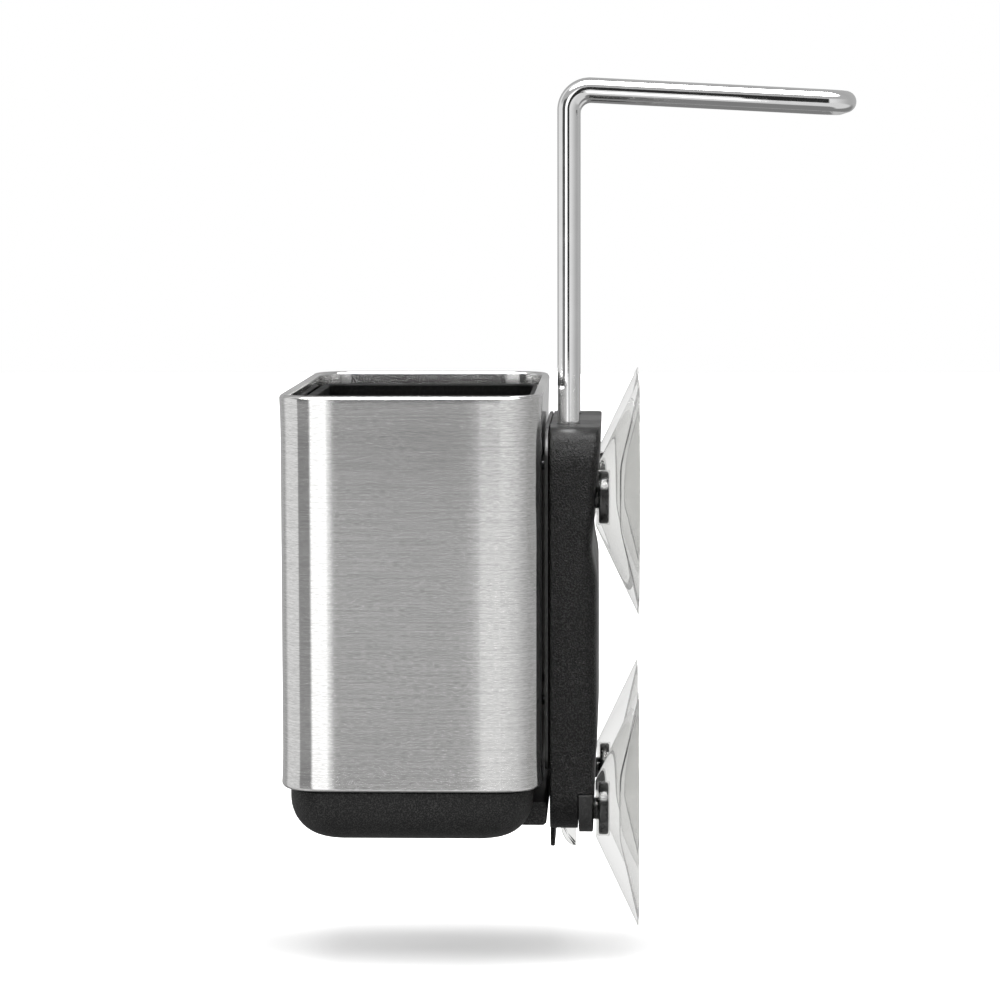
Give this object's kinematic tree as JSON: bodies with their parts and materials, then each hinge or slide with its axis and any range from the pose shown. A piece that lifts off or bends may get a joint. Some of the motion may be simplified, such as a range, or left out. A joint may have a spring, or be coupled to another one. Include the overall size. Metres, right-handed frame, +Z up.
{
  "type": "sink caddy",
  "caption": "Sink caddy: a rounded steel sleeve on a black base, hooked to a wall bracket with suction cups and a chrome wire cloth loop that slides up and folds back over the wall line",
  "frame": {"origin": "centre of the four suction cups, on the wall plane that their rims touch", "axes": "+Y into the wall, +Z up, +X to the right for someone who faces the caddy"},
  "size_m": [0.1304, 0.1575, 0.234],
  "materials": {
    "bracket": "black moulded plastic with a fine leather grain on its sides",
    "base_plastic": "black moulded plastic, fine matt grain",
    "liner_plastic": "black moulded plastic",
    "stud": "black moulded plastic",
    "clear_vinyl": "clear soft vinyl",
    "grip_rubber": "black rubber",
    "loop_chrome": "polished round steel rod",
    "sleeve_steel": "stainless sheet, brushed round its girth",
    "fastener": "zinc-plated steel"
  },
  "bodies": {
    "wall_bracket": {"bracket_housing": "bracket", "bracket_back_cover": "bracket", "cover_screw_upper_left": "fastener", "cover_screw_upper_right": "fastener", "cover_screw_lower_left": "fastener", "cover_screw_lower_right": "fastener", "cup_stud_upper_left": "stud", "cup_stud_upper_right": "stud", "cup_stud_lower_left": "stud", "cup_stud_lower_right": "stud", "suction_cup_upper_left": "clear_vinyl", "suction_cup_upper_right": "clear_vinyl", "suction_cup_lower_left": "clear_vinyl", "suction_cup_lower_right": "clear_vinyl", "grip_pad_left": "grip_rubber", "grip_pad_right": "grip_rubber", "channel_plug_left": "clear_vinyl", "channel_plug_right": "clear_vinyl"},
    "hanger": {"hanger_loop": "loop_chrome", "rod_yoke": "bracket", "yoke_screw_left": "fastener", "yoke_screw_right": "fastener"},
    "caddy": {"steel_sleeve": "sleeve_steel", "base_tub": "base_plastic", "carrier_plate": "base_plastic", "carrier_rivet_upper_left": "fastener", "carrier_rivet_upper_right": "fastener", "carrier_rivet_lower_left": "fastener", "carrier_rivet_lower_right": "fastener"},
    "liner": {"inner_liner": "liner_plastic"},
    "divider": {"divider": "liner_plastic"}
  },
  "joints": [
    {"name": "hanger_slide", "type": "slide", "parent": "wall_bracket", "child": "hanger", "axis": [0, 0, 1], "range_m": [0, 0.072]},
    {"name": "caddy_lift", "type": "slide", "parent": "wall_bracket", "child": "caddy", "axis": [0, 0, 1], "range_m": [0, 0.0092]},
    {"name": "liner_lift", "type": "slide", "parent": "caddy", "child": "liner", "axis": [0, 0, 1], "range_m": [0, 0.106]},
    {"name": "divider_lift", "type": "slide", "parent": "liner", "child": "divider", "axis": [0, 0, 1], "range_m": [0, 0.1]}
  ]
}
